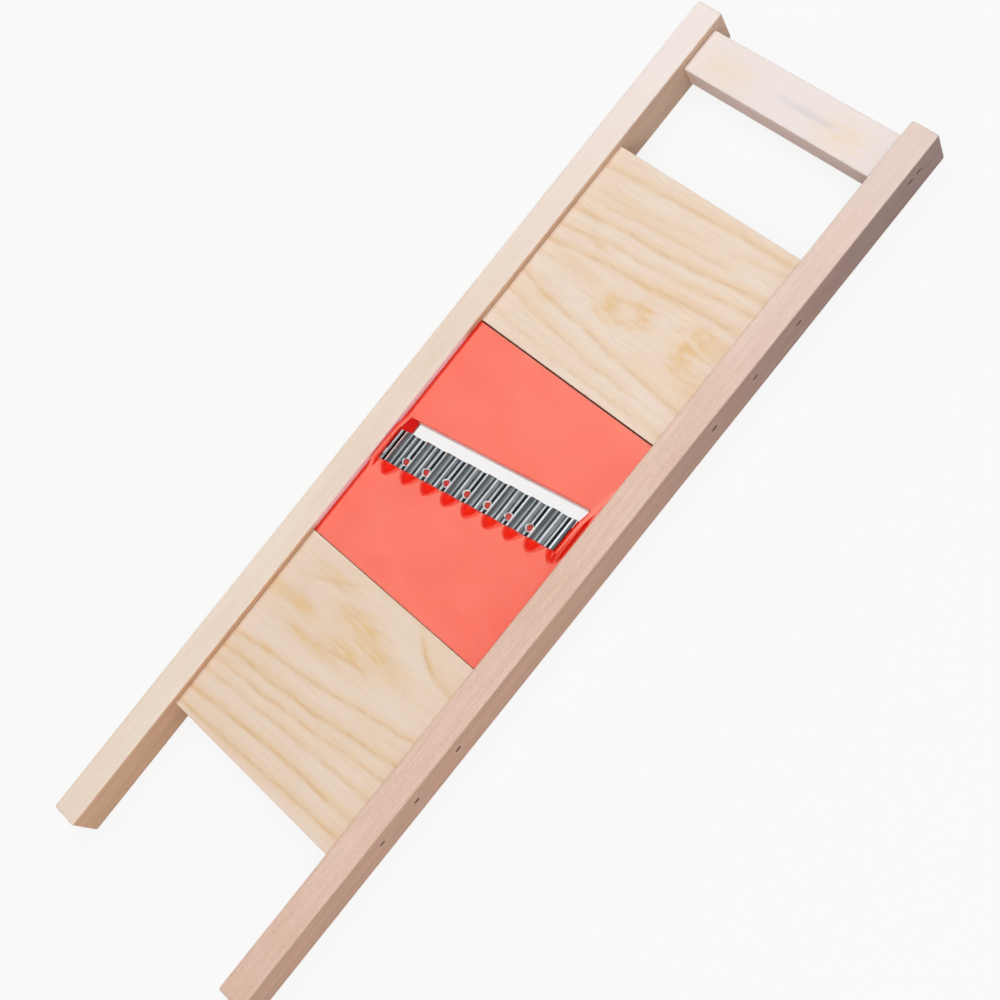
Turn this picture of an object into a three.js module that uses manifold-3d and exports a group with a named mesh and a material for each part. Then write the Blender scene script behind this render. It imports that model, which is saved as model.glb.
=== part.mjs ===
// Crinkle cutter: a wooden frame that holds two plywood boards and a moulded insert with a corrugated blade.
// Millimetres, +Z up. X runs across the frame, Y along it with the crossbar at +Y, and Z = 0 is the underside.
import * as THREE from 'three';
import { RoundedBoxGeometry } from 'three/addons/geometries/RoundedBoxGeometry.js';
import { mergeVertices } from 'three/addons/utils/BufferGeometryUtils.js';
import Module from 'manifold-3d';

// Frame: two rails and a crossbar
const FRAME_LENGTH = 350;
const FRAME_WIDTH = 100;
const RAIL_WIDTH = 10.5;
const RAIL_HEIGHT = 15;
const RAIL_EASE = 0.8;
const CROSSBAR_END_INSET = 5;
const CROSSBAR_WIDTH = 17;
const CROSSBAR_THICKNESS = 9.6;
const CROSSBAR_DROP = 2.9;
const CROSSBAR_EASE = 0.6;

// Deck: the lower board, the blade insert and the upper board, in line between the rails
const DECK_DROP = 2.6;
const HAND_GAP = 33.6;
const LEG_LENGTH = 53.6;
const BOARD_THICKNESS = 7;
const BOARD_EASE = 0.25;
const UPPER_JOINT_GAP = 0.6;
const LOWER_JOINT_GAP = 0.2;

// Moulded blade insert
const INSERT_LENGTH = 90;
const INSERT_DEPTH = 7;
const INSERT_WALL = 2;
const TONGUE_DEPTH = 2.5;
const TONGUE_FIT = 0.2;
const THROAT_OPENING = 5;
const THROAT_LIP = 1.5;
const THROAT_RUNBACK = 4;
const THROAT_EASE = 0.4;
const CHEEK_WIDTH = 2.2;
const CHEEK_HEIGHT = 1.7;
const CHEEK_TAIL = 4;
const CHEEK_RAMP = 3.6;
const CHEEK_EASE = 0.5;
const NOSE_LENGTH = 4.8;
const NOSE_FILLET = 0.25;
const NOSE_SINK = 0.02;
const BED_LAP = 0.3;
const STAKE_DIAMETER = 2.1;
const STAKE_STAND = 0.6;
const STAKE_CROWN = 0.25;
const STAKE_SETBACK = 2.95;

// Corrugated blade
const BLADE_SKEW = THREE.MathUtils.degToRad(9.6);
const BLADE_DEPTH = 12.15;
const BLADE_THICKNESS = 0.4;
const BLADE_OVERHANG = 3;
const BLADE_LEFT_MARGIN = 2.5;
const BLADE_RIGHT_MARGIN = 4;
const WAVE_PITCH = 8.465;
const WAVE_HEIGHT = 2.8;
const WAVE_CENTRE = -2.2;
const GROUND_DEPTH = 1.2;
const EDGE_THICKNESS = 0.06;
const BLADE_FIT = 0.15;
const STAKE_HOLE_FIT = 0.3;

// Brads driven through the rails into the crossbar and the boards
const BRAD_LENGTH = 20;
const BRAD_HEAD_WIDTH = 2;
const BRAD_HEAD_DEPTH = 0.7;
const BRAD_SHANK_WIDTH = 1.2;
const BRAD_GAUGE = 1;
const BRAD_POINT_LENGTH = 1.6;
const BRAD_POINT_WIDTH = 0.3;
const BRAD_SET = 0.3;
const BRAD_FIT = 0.15;
const CROSSBAR_BRAD_SPACING = 4.3;
const CROSSBAR_BRAD_DROP = 2.6;
const UPPER_BRAD_MARGINS = { near: 16, far: 16.6, middleShift: -0.5 };
const LOWER_BRAD_MARGINS = { near: 22.4, far: 14.3, middleShift: -1.8 };

// Facets
const EASE_STEPS = 2;
const WAVE_STEPS = 20;
const NOSE_STEPS = 9;
const ROUND_STEPS = 18;
const WELD_DISTANCE = 1e-4;
const CUT_MARGIN = 1;

// Places that follow from the sizes above
const frameHalf = FRAME_WIDTH / 2;
const innerHalf = frameHalf - RAIL_WIDTH;
const deckTop = RAIL_HEIGHT - DECK_DROP;
const boardMiddle = deckTop - BOARD_THICKNESS / 2;
const crossbarTop = RAIL_HEIGHT - CROSSBAR_DROP;
const crossbarY = FRAME_LENGTH / 2 - CROSSBAR_END_INSET - CROSSBAR_WIDTH / 2;
const deckFront = crossbarY - CROSSBAR_WIDTH / 2 - HAND_GAP;
const deckBack = LEG_LENGTH - FRAME_LENGTH / 2;
const boardLength = (deckFront - deckBack - INSERT_LENGTH - UPPER_JOINT_GAP - LOWER_JOINT_GAP) / 2;
const upperBoardY = deckFront - boardLength / 2;
const lowerBoardY = deckBack + boardLength / 2;
const insertBack = deckBack + boardLength + LOWER_JOINT_GAP;
const insertFront = insertBack + INSERT_LENGTH;
const insertY = (insertBack + insertFront) / 2;
const insertBottom = deckTop - INSERT_DEPTH;

// Blade zone, measured along the rails from the blade's centre line before the zone is skewed
const bladeLeft = BLADE_LEFT_MARGIN - innerHalf;
const bladeRight = innerHalf - BLADE_RIGHT_MARGIN;
const bladeFront = BLADE_DEPTH / 2;
const bladeBack = -BLADE_DEPTH / 2;
const throatFront = bladeFront + THROAT_OPENING;
const throatRear = bladeFront - BLADE_OVERHANG;
const throatLeft = bladeLeft - BLADE_FIT;
const throatRight = bladeRight + BLADE_FIT;
const waveMiddle = deckTop - BLADE_THICKNESS / 2 + WAVE_HEIGHT / 2;
const troughTop = deckTop;
const stakeY = bladeBack + STAKE_SETBACK;
const skewZone = new THREE.Matrix4()
  .makeTranslation(0, insertY, 0)
  .multiply(new THREE.Matrix4().makeShear(Math.tan(BLADE_SKEW), 0, 0, 0, 0, 0));

// Turns a section drawn in x and y so that it stands in the YZ plane and travels along X
const ALONG_X = new THREE.Matrix4().makeBasis(
  new THREE.Vector3(0, 1, 0), new THREE.Vector3(0, 0, 1), new THREE.Vector3(1, 0, 0));

const finishes = {
  rail: new THREE.MeshStandardMaterial({ color: 0xead3bd, roughness: 0.6, metalness: 0 }),
  crossbar: new THREE.MeshStandardMaterial({ color: 0xf0dfd0, roughness: 0.6, metalness: 0 }),
  plywood: new THREE.MeshStandardMaterial({ color: 0xe8cfae, roughness: 0.65, metalness: 0 }),
  redPlastic: new THREE.MeshStandardMaterial({ color: 0xf0331f, roughness: 0.3, metalness: 0 }),
  bladeSteel: new THREE.MeshStandardMaterial({ color: 0xc9cdd0, roughness: 0.15, metalness: 1 }),
  bradSteel: new THREE.MeshStandardMaterial({ color: 0x5e5048, roughness: 0.5, metalness: 0.8 }),
};

const wasm = await Module();
wasm.setup();

function toSolid(geometry) {
  const bare = geometry.clone();
  bare.deleteAttribute('normal');
  bare.deleteAttribute('uv');
  bare.clearGroups();
  const welded = mergeVertices(bare, WELD_DISTANCE);
  return new wasm.Manifold(new wasm.Mesh({
    numProp: 3,
    vertProperties: new Float32Array(welded.getAttribute('position').array),
    triVerts: new Uint32Array(welded.getIndex().array),
  }));
}

function toGeometry(solid) {
  const mesh = solid.getMesh();
  const geometry = new THREE.BufferGeometry();
  geometry.setAttribute('position', new THREE.BufferAttribute(mesh.vertProperties, mesh.numProp));
  geometry.setIndex(new THREE.BufferAttribute(mesh.triVerts, 1));
  geometry.computeVertexNormals();
  return geometry;
}

function block(low, high) {
  const geometry = new THREE.BoxGeometry(high[0] - low[0], high[1] - low[1], high[2] - low[2]);
  geometry.translate((low[0] + high[0]) / 2, (low[1] + high[1]) / 2, (low[2] + high[2]) / 2);
  return geometry;
}

function outline(points) {
  return new THREE.Shape(points.map(([x, y]) => new THREE.Vector2(x, y)));
}

// A closed skin over rings of equal length. The rings follow one another towards +Y, and each one lists
// its upper side from -X to +X and then its lower side back again.
function loft(rings) {
  const count = rings[0].length;
  const positions = rings.flat().flatMap((point) => [point.x, point.y, point.z]);
  const index = [];
  for (let ring = 0; ring + 1 < rings.length; ring += 1) {
    for (let i = 0; i < count; i += 1) {
      const a = ring * count + i;
      const b = ring * count + ((i + 1) % count);
      index.push(a, b, b + count, a, b + count, a + count);
    }
  }
  const lastStart = (rings.length - 1) * count;
  const capOf = (ring) => THREE.ShapeUtils.triangulateShape(ring.map((p) => new THREE.Vector2(-p.x, p.z)), []);
  capOf(rings[0]).forEach(([a, b, c]) => index.push(c, b, a));
  capOf(rings.at(-1)).forEach(([a, b, c]) => index.push(lastStart + a, lastStart + b, lastStart + c));
  const geometry = new THREE.BufferGeometry();
  geometry.setAttribute('position', new THREE.Float32BufferAttribute(positions, 3));
  geometry.setIndex(index);
  return geometry;
}

// A section in the YZ plane of the blade zone, swept across it and skewed with it
function sweepAcross(section, left, right) {
  const geometry = new THREE.ExtrudeGeometry(section, { depth: right - left, bevelEnabled: false });
  return geometry.applyMatrix4(ALONG_X).translate(left, 0, 0).applyMatrix4(skewZone);
}

function bradRow(name, y, margins) {
  const towardsInsert = Math.sign(insertY - y);
  const near = y + towardsInsert * (boardLength / 2 - margins.near);
  const far = y - towardsInsert * (boardLength / 2 - margins.far);
  const middle = (near + far) / 2 + margins.middleShift;
  return [near, middle, far].map((place) => ({ name, y: place, z: boardMiddle }));
}

const bradPlaces = [
  ...[1, -1].map((turn) => ({
    name: 'crossbar',
    y: crossbarY + (turn * CROSSBAR_BRAD_SPACING) / 2,
    z: crossbarTop - CROSSBAR_BRAD_DROP,
  })),
  ...bradRow('upper', upperBoardY, UPPER_BRAD_MARGINS),
  ...bradRow('lower', lowerBoardY, LOWER_BRAD_MARGINS),
];

// A brad lying along -X with its head at the origin. With a fit it is the hole for one, open at the head.
function bradGeometry(fit, headReach) {
  const head = BRAD_HEAD_WIDTH / 2 + fit;
  const shank = BRAD_SHANK_WIDTH / 2 + fit;
  const point = fit > 0 ? shank : BRAD_POINT_WIDTH / 2;
  const neck = -BRAD_HEAD_DEPTH - fit;
  const tip = -BRAD_LENGTH - fit;
  const taper = tip + BRAD_POINT_LENGTH;
  const upper = [[headReach, head], [neck, head], [neck, shank], [taper, shank], [tip, point]];
  const lower = upper.map(([x, y]) => [x, -y]).reverse();
  const thickness = BRAD_GAUGE + 2 * fit;
  const geometry = new THREE.ExtrudeGeometry(outline([...upper, ...lower]), {
    depth: thickness,
    bevelEnabled: false,
  });
  return geometry.translate(0, 0, -thickness / 2);
}

function placeBrad(object, side, place) {
  object.rotation.z = side > 0 ? 0 : Math.PI;
  object.position.set(side * (frameHalf - BRAD_SET), place.y, place.z);
  object.updateMatrix();
  return object;
}

function bradHole(side, place) {
  const hole = bradGeometry(BRAD_FIT, BRAD_SET + CUT_MARGIN);
  return toSolid(hole.applyMatrix4(placeBrad(new THREE.Object3D(), side, place).matrix));
}

function cutBradHoles(solid, sides, name) {
  const places = bradPlaces.filter((place) => name === undefined || place.name === name);
  return sides.reduce((body, side) =>
    places.reduce((cut, place) => cut.subtract(bradHole(side, place)), body), solid);
}

function railGeometry(side) {
  const bar = new RoundedBoxGeometry(RAIL_WIDTH, FRAME_LENGTH, RAIL_HEIGHT, EASE_STEPS, RAIL_EASE);
  bar.translate(side * (frameHalf - RAIL_WIDTH / 2), 0, RAIL_HEIGHT / 2);
  const reach = [innerHalf - CUT_MARGIN, innerHalf + TONGUE_DEPTH + TONGUE_FIT].map((x) => side * x);
  const groove = block(
    [Math.min(...reach), insertBack - TONGUE_FIT, deckTop - INSERT_WALL - TONGUE_FIT],
    [Math.max(...reach), insertFront + TONGUE_FIT, deckTop + TONGUE_FIT]);
  return toGeometry(cutBradHoles(toSolid(bar).subtract(toSolid(groove)), [side]));
}

function crossbarGeometry() {
  const length = 2 * innerHalf;
  const bar = new RoundedBoxGeometry(length, CROSSBAR_WIDTH, CROSSBAR_THICKNESS, EASE_STEPS, CROSSBAR_EASE);
  bar.translate(0, crossbarY, crossbarTop - CROSSBAR_THICKNESS / 2);
  return toGeometry(cutBradHoles(toSolid(bar), [-1, 1], 'crossbar'));
}

function boardGeometry(name, y) {
  const board = new RoundedBoxGeometry(2 * innerHalf, boardLength, BOARD_THICKNESS, EASE_STEPS, BOARD_EASE);
  board.translate(0, y, boardMiddle);
  return toGeometry(cutBradHoles(toSolid(board), [-1, 1], name));
}

// Height of the middle of the blade's sheet, which is lowest at the stakes
function waveHeight(x) {
  return waveMiddle - (WAVE_HEIGHT / 2) * Math.cos((2 * Math.PI * (x - WAVE_CENTRE)) / WAVE_PITCH);
}

function waveSlope(x) {
  const turn = (2 * Math.PI) / WAVE_PITCH;
  return (WAVE_HEIGHT / 2) * turn * Math.sin(turn * (x - WAVE_CENTRE));
}

// The wave from left to right, moved off the middle of the sheet along its normal
function waveCurve(left, right, offset) {
  const steps = Math.ceil(((right - left) / WAVE_PITCH) * WAVE_STEPS);
  return Array.from({ length: steps + 1 }, (_, i) => {
    const x = left + ((right - left) * i) / steps;
    const lean = Math.hypot(1, waveSlope(x));
    const inside = THREE.MathUtils.clamp(x - (offset * waveSlope(x)) / lean, left, right);
    return new THREE.Vector2(i === 0 || i === steps ? x : inside, waveHeight(x) + offset / lean);
  });
}

const wavesEachSide = Math.floor((bladeRight - bladeLeft) / WAVE_PITCH);
const waveNumbers = Array.from({ length: 2 * wavesEachSide + 1 }, (_, i) => i - wavesEachSide);

// Stakes stand in every trough that has a whole wave of blade around it
const stakeColumns = waveNumbers
  .map((number) => WAVE_CENTRE + number * WAVE_PITCH)
  .filter((x) => x - WAVE_PITCH / 2 > bladeLeft && x + WAVE_PITCH / 2 < bladeRight);

function stakePlace(x) {
  return new THREE.Vector3(x, stakeY, 0).applyMatrix4(skewZone);
}

function bladeGeometry() {
  const half = BLADE_THICKNESS / 2;
  const upper = waveCurve(bladeLeft, bladeRight, half);
  const ring = (y, lowerOffset) => [
    ...upper.map((p) => new THREE.Vector3(p.x, y, p.y)),
    ...waveCurve(bladeLeft, bladeRight, lowerOffset).reverse().map((p) => new THREE.Vector3(p.x, y, p.y)),
  ];
  const strip = loft([
    ring(bladeBack, -half),
    ring(bladeFront - GROUND_DEPTH, -half),
    ring(bladeFront, half - EDGE_THICKNESS),
  ]);
  const holeRadius = STAKE_DIAMETER / 2 + STAKE_HOLE_FIT;
  const holes = stakeColumns.map((x) => {
    const drill = new THREE.CylinderGeometry(holeRadius, holeRadius, 2 * WAVE_HEIGHT, ROUND_STEPS);
    drill.rotateX(Math.PI / 2);
    const place = stakePlace(x);
    return toSolid(drill.translate(place.x, place.y, troughTop));
  });
  const solid = toSolid(strip.applyMatrix4(skewZone));
  return toGeometry(holes.reduce((cut, hole) => cut.subtract(hole), solid));
}

// The corrugated bed under the blade: its top follows the blade's underside
function bedSolid() {
  const top = waveCurve(throatLeft, throatRight, -BLADE_THICKNESS / 2 - BLADE_FIT);
  const floor = deckTop - 0.75 * INSERT_WALL;
  const ring = (y) => [
    ...top.map((p) => new THREE.Vector3(p.x, y, p.y)),
    new THREE.Vector3(throatRight + BED_LAP, y, floor),
    new THREE.Vector3(throatLeft - BED_LAP, y, floor),
  ];
  return toSolid(loft([ring(bladeBack - BLADE_FIT - BED_LAP), ring(bladeFront)]).applyMatrix4(skewZone));
}

// Height above the plate of a form that meets it in a fillet: nothing well below it, the form itself well above
function filletedRise(height) {
  return NOSE_FILLET * Math.log1p(Math.exp(height / NOSE_FILLET));
}

// The ridges of the bed run out behind the blade in noses that die away into the plate, the last one round
// the right cheek's tail
function nosesSolid() {
  const foot = deckTop - 0.75 * INSERT_WALL;
  const right = throatRight + CHEEK_WIDTH;
  const start = bladeBack - BLADE_FIT;
  const run = NOSE_LENGTH - BED_LAP;
  const wholeDrop = WAVE_HEIGHT - BLADE_THICKNESS - BLADE_FIT + 5 * NOSE_FILLET;
  const top = waveCurve(throatLeft, right, -BLADE_THICKNESS / 2 - BLADE_FIT);
  const sideDrop = (x) => wholeDrop * (Math.max(0, x - throatRight) / CHEEK_WIDTH) ** 2;
  const ring = (y, share) => {
    const drop = wholeDrop * share ** 2;
    const rise = (p) => filletedRise(p.y - deckTop - drop - sideDrop(p.x)) - NOSE_SINK;
    return [
      ...top.map((p) => new THREE.Vector3(p.x, y, deckTop + rise(p))),
      new THREE.Vector3(right, y, foot),
      new THREE.Vector3(throatLeft, y, foot),
    ];
  };
  const rings = Array.from({ length: NOSE_STEPS + 1 }, (_, i) => {
    const share = 1 - i / NOSE_STEPS;
    return ring(start - BED_LAP - run * share, share);
  });
  return toSolid(loft([...rings, ring(start, 0)]).applyMatrix4(skewZone));
}

// A raised cheek beside one end of the blade, ramped up from the throat's front corner
function cheekSolid(inner, side) {
  const foot = deckTop - 0.75 * INSERT_WALL;
  const top = deckTop + CHEEK_HEIGHT;
  const tail = bladeBack - CHEEK_TAIL;
  const section = outline([
    [tail, foot], [throatFront, foot], [throatFront, deckTop], [bladeFront, top],
    [tail + CHEEK_RAMP, top], [tail, deckTop],
  ]);
  const depth = CHEEK_WIDTH - 2 * CHEEK_EASE;
  const geometry = new THREE.ExtrudeGeometry(section, {
    depth,
    bevelEnabled: true,
    bevelThickness: CHEEK_EASE,
    bevelSize: CHEEK_EASE,
    bevelOffset: -CHEEK_EASE,
    bevelSegments: EASE_STEPS,
  });
  const left = Math.min(inner, inner + side * CHEEK_WIDTH);
  return toSolid(geometry.applyMatrix4(ALONG_X).translate(left + CHEEK_EASE, 0, 0).applyMatrix4(skewZone));
}

// A moulded stake with a softly crowned top, standing through a hole of the blade
function stakeSolid(x) {
  const radius = STAKE_DIAMETER / 2;
  const foot = deckTop - INSERT_WALL / 2;
  const top = troughTop + STAKE_STAND;
  const profile = [[0, foot], [radius, foot], [radius, top - STAKE_CROWN], [radius - STAKE_CROWN, top], [0, top]];
  const stake = new THREE.LatheGeometry(profile.map(([r, z]) => new THREE.Vector2(r, z)), ROUND_STEPS);
  stake.rotateX(Math.PI / 2);
  const place = stakePlace(x);
  return toSolid(stake.translate(place.x, place.y, 0));
}

function insertGeometry() {
  const skirtHalf = innerHalf - TONGUE_FIT;
  const plate = toSolid(block(
    [-innerHalf - TONGUE_DEPTH, insertBack, deckTop - INSERT_WALL],
    [innerHalf + TONGUE_DEPTH, insertFront, deckTop]));
  const skirt = toSolid(block(
    [-skirtHalf, insertBack, insertBottom],
    [skirtHalf, insertFront, deckTop - INSERT_WALL / 2]));
  const hollow = toSolid(block(
    [INSERT_WALL - skirtHalf, insertBack + INSERT_WALL, insertBottom - CUT_MARGIN],
    [skirtHalf - INSERT_WALL, insertFront - INSERT_WALL, deckTop - INSERT_WALL]));
  const throatBase = throatRear - THROAT_RUNBACK;
  const throatWalls = toSolid(sweepAcross(outline([
    [throatBase - INSERT_WALL, insertBottom], [throatFront + INSERT_WALL, insertBottom],
    [throatFront + INSERT_WALL, deckTop - INSERT_WALL / 2],
    [throatBase - INSERT_WALL, deckTop - INSERT_WALL / 2],
  ]), Math.max(throatLeft - INSERT_WALL, -skirtHalf), Math.min(throatRight + INSERT_WALL, skirtHalf)));
  const crestTop = deckTop + WAVE_HEIGHT + CUT_MARGIN;
  const easedEdge = Array.from({ length: EASE_STEPS + 1 }, (_, i) => {
    const turn = ((i / EASE_STEPS) * Math.PI) / 2;
    return [
      throatFront + THROAT_EASE * (1 - Math.cos(turn)),
      deckTop - THROAT_EASE * (1 - Math.sin(turn)),
    ];
  });
  const throat = toSolid(sweepAcross(outline([
    [throatBase, insertBottom - CUT_MARGIN], [throatFront, insertBottom - CUT_MARGIN], ...easedEdge,
    [throatFront + THROAT_EASE, crestTop], [throatRear, crestTop], [throatRear, deckTop - THROAT_LIP],
  ]), throatLeft, throatRight));
  const pocket = toSolid(sweepAcross(outline([
    [bladeBack - BLADE_FIT, deckTop - INSERT_WALL / 2], [bladeFront, deckTop - INSERT_WALL / 2],
    [bladeFront, crestTop], [bladeBack - BLADE_FIT, crestTop],
  ]), throatLeft, throatRight));
  const shell = skirt.subtract(hollow).add(plate).add(throatWalls);
  const bedded = shell.subtract(pocket).add(bedSolid()).add(nosesSolid()).subtract(throat);
  const cheeked = bedded.add(cheekSolid(throatLeft, -1)).add(cheekSolid(throatRight, 1));
  return toGeometry(stakeColumns.map(stakeSolid).reduce((all, stake) => all.add(stake), cheeked));
}

function piece(name, geometry, finish) {
  const mesh = new THREE.Mesh(geometry, finish);
  mesh.name = name;
  return mesh;
}

const crinkleCutter = new THREE.Group();
crinkleCutter.add(
  piece('left_rail', railGeometry(-1), finishes.rail),
  piece('right_rail', railGeometry(1), finishes.rail),
  piece('crossbar', crossbarGeometry(), finishes.crossbar),
  piece('upper_board', boardGeometry('upper', upperBoardY), finishes.plywood),
  piece('lower_board', boardGeometry('lower', lowerBoardY), finishes.plywood),
  piece('blade_insert', insertGeometry(), finishes.redPlastic),
  piece('crinkle_blade', bladeGeometry(), finishes.bladeSteel),
);

const brads = new THREE.Group();
for (const [sideName, side] of [['left', -1], ['right', 1]]) {
  const counts = {};
  for (const place of bradPlaces) {
    counts[place.name] = (counts[place.name] ?? 0) + 1;
    const name = `brad_${place.name}_${sideName}_${counts[place.name]}`;
    brads.add(placeBrad(piece(name, bradGeometry(0, 0), finishes.bradSteel), side, place));
  }
}
crinkleCutter.add(brads);

export default crinkleCutter;
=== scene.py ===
"""Dresses the crinkle cutter: sanded wood, veneered boards, a moulded insert and a polished wave blade."""

import math
from collections import namedtuple

import bmesh
import bpy
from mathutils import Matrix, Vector


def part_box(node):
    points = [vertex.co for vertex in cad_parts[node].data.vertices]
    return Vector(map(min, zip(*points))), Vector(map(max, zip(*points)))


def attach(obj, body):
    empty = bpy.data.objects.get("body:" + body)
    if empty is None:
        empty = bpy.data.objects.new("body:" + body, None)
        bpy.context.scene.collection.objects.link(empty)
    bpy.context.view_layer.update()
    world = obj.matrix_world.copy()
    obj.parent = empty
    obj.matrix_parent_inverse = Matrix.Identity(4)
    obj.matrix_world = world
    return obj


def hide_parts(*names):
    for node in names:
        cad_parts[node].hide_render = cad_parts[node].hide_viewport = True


MM = 0.001


def srgb(red, green, blue):
    """A colour given in 0-255 screen values, as the linear one that a shader takes."""
    def straight(value):
        share = value / 255
        return share / 12.92 if share <= 0.04045 else ((share + 0.055) / 1.055) ** 2.4
    return (straight(red), straight(green), straight(blue), 1.0)


# Camera, as the photograph was taken: a square frame on a 36 mm sensor
CAMERA_PLACE = (0.24593, 0.001394, 0.485296)
CAMERA_TURN = (17.3517, 20.5753, 41.8265)
CAMERA_LENS = 58.712
CAMERA_SENSOR = 36.0

# Studio: a glowing floor, a dome that dims above the horizon, and soft boxes by place, size and radiance
FLOOR_SIZE = 6.0
FLOOR_DROP = 0.2 * MM
FLOOR_COLOUR = (0.72, 0.72, 0.72, 1.0)
FLOOR_GLOW = 0.86
HORIZON_GLOW = 0.9
HORIZON_TOP = (0.12, 0.32)
DOME_GLOW = 0.18
SOFT_BOXES = {
    "main_box": {"place": (-0.15, 0.62, 1.25), "width": 0.8, "length": 1.0, "radiance": 3.0},
    "near_box": {"place": (0.50, -0.75, 1.00), "width": 0.5, "length": 0.9, "radiance": 3.0},
    "left_box": {"place": (-1.41, 0.0, 2.65), "width": 0.74, "length": 2.4, "radiance": 2.95},
    "crown_box": {"place": (0.43, 0.0, 1.12), "width": 0.92, "length": 1.0, "radiance": 0.88},
    "slope_strip": {"place": (1.09, 0.0, 0.507), "width": 0.29, "length": 1.2, "radiance": 0.95},
}

# Blade, in millimetres, as the solid is
BLADE_LEFT = -37.0
BLADE_RIGHT = 35.5
BLADE_DEPTH = 12.15
BLADE_MIDDLE_Y = -1.2
BLADE_SKEW = math.tan(math.radians(9.6))
BLADE_SHEET = 0.4
BLADE_EDGE = 0.06
BLADE_GROUND = 1.2
WAVE_PITCH = 8.465
WAVE_HEIGHT = 2.8
WAVE_CENTRE = -2.2
TROUGH_TOP = 12.4
STAKE_COUNT = 7
STAKE_HOLE = 1.35
STAKE_SETBACK = 2.95

# Blade's mesh: grid points along and across it, sides of a hole and of its rim, how far past a hole's
# radius its edge is looked for, and the angle from which an edge is sharp
SHEET_GRID = (480, 42)
HOLE_SIDES = 40
RIM_SIDES = 8
RIM_REACH = 1.04
BLADE_CREASE = math.radians(38)
MERGE_DISTANCE = 1e-6

# A noise pattern: stretch along each axis, scale, detail, roughness, and a shift that sets it apart from
# others of its seed. A range, below, is what a value is read between, and what it becomes there where that
# isn't 0 and 1.
Pattern = namedtuple("Pattern", ("stretch", "scale", "detail", "roughness", "shift"), defaults=(0.5, 0.0))
EVEN = (1.0, 1.0, 1.0)

# Blade steel: two tones of smudged shine under dark rolling lines, with their roughness and relief
STEEL_LINES = Pattern((3.2, 0.05, 0.0), 1.0, 4.0, 0.65)
STEEL_SMUDGE = Pattern(EVEN, 0.22, 3.0)
STEEL_TONES = (srgb(190, 197, 204), srgb(214, 219, 224))
SMUDGE_RANGE = (0.3, 0.7)
SMUDGE_SWAY = 0.02
SMUDGE_ROUGHNESS = 0.3
ROLLED_DARK = srgb(88, 94, 102)
ROLLED_RANGE = (0.46, 0.7, 0.0, 0.7)
STEEL_ROUGHNESS = (0.4, 1.0, 0.06, 0.13)
STEEL_RELIEF = 0.007 * MM

# Painted bands along the blade's waves: place and half width as shares of a wave from its crest, and fade.
# A dark band is painted shade and dark reflection and says how much of the shine is left; the white line is
# a painted highlight.
PAINTED_DARK_BANDS = [(0.565, 0.06, 0.02, 0.012), (0.95, 0.13, 0.04, 0.5), (0.0, 0.035, 0.02, 0.5),
              (0.16, 0.035, 0.03, 0.4), (0.315, 0.035, 0.03, 0.35)]
PAINTED_HIGHLIGHT_LINE = (0.724, 0.055, 0.02)
PAINTED_HIGHLIGHT_WHITE = srgb(250, 251, 252)

# Shares of a wave: half of one, and whole ones that keep a count of waves above nothing
HALF_WAVE = 0.5
WHOLE_WAVES = 20.0

# Burred rims of the blade's holes, with the radius of their bead in millimetres. Their white is a painted
# highlight.
HOLE_RIM = 0.2
RIM_BURRS = Pattern(EVEN, 0.8, 3.0)
RIM_TONES = (srgb(136, 142, 148), PAINTED_HIGHLIGHT_WHITE)
RIM_RANGE = (0.36, 0.5)
RIM_METAL = 0.15
RIM_ROUGHNESS = (0.3, 0.7, 0.35, 0.5)
RIM_RELIEF = 0.03 * MM

# Red plastic, from one moulding swirl to the next
FACE_REDS = (srgb(255, 30, 14), srgb(255, 41, 22))
STAKE_REDS = (srgb(226, 78, 72), srgb(238, 88, 82))
PLASTIC_SMEARS = Pattern((0.07, 0.10, 0.07), 1.0, 1.0)
PLASTIC_SWELL = Pattern((0.04, 0.05, 0.04), 1.0, 0.0)
SMEAR_RANGE = (0.25, 0.75)
SWELL_RANGE = (0.3, 0.7)
SOAK_RADIUS = (1.0, 0.12, 0.06)
PLASTIC_RELIEF = 0.02 * MM

# Gloss of the plastic on the plate, the throat's walls, its left wall, the feet of the noses and the noses.
# Beside the plate's, these are lit and shaded copies of one plastic that paint light: the walls and the
# darker, pinker stake tops lose their shine, the left wall is part metal to brighten it, and the feet and
# noses take strong tinted gloss.
FACE_GLOSS = {"ior": 1.85, "level": 0.5, "tint": (1.0, 0.93, 0.70, 1.0), "smooth": 0.22, "smeared": 0.265,
              "soak": 0.6, "depth": 4.0, "shine": 0.0}
WALL_GLOSS = {"ior": 1.45, "level": 0.0, "tint": (1.0, 0.04, 0.02, 1.0), "smooth": 0.5, "smeared": 0.6,
              "soak": 1.0, "depth": 5.0, "shine": 0.0}
SIDE_GLOSS = {"ior": 1.45, "level": 0.5, "tint": (1.0, 0.04, 0.02, 1.0), "smooth": 0.4, "smeared": 0.5,
              "soak": 0.0, "depth": 5.0, "shine": 0.6}
FOOT_GLOSS = {"ior": 2.3, "level": 0.5, "tint": (1.0, 0.6, 0.45, 1.0), "smooth": 0.55, "smeared": 0.6,
              "soak": 0.0, "depth": 4.0, "shine": 0.0}
NOSE_GLOSS = {"ior": 2.3, "level": 0.5, "tint": (1.0, 0.06, 0.03, 1.0), "smooth": 0.5, "smeared": 0.55,
              "soak": 0.0, "depth": 4.0, "shine": 0.0}

# The insert's finishes in the order of its material slots, and the slots' numbers
INSERT_FINISHES = [("glossy_red_plastic", FACE_GLOSS, FACE_REDS),
                   ("matt_red_plastic", WALL_GLOSS, FACE_REDS),
                   ("staked_red_plastic", WALL_GLOSS, STAKE_REDS),
                   ("nose_foot_red_plastic", FOOT_GLOSS, FACE_REDS),
                   ("nose_red_plastic", NOSE_GLOSS, FACE_REDS),
                   ("throat_side_red_plastic", SIDE_GLOSS, FACE_REDS)]
PLATE, WALLS, STAKES, NOSE_FEET, NOSES, LEFT_WALL = range(len(INSERT_FINISHES))

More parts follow.
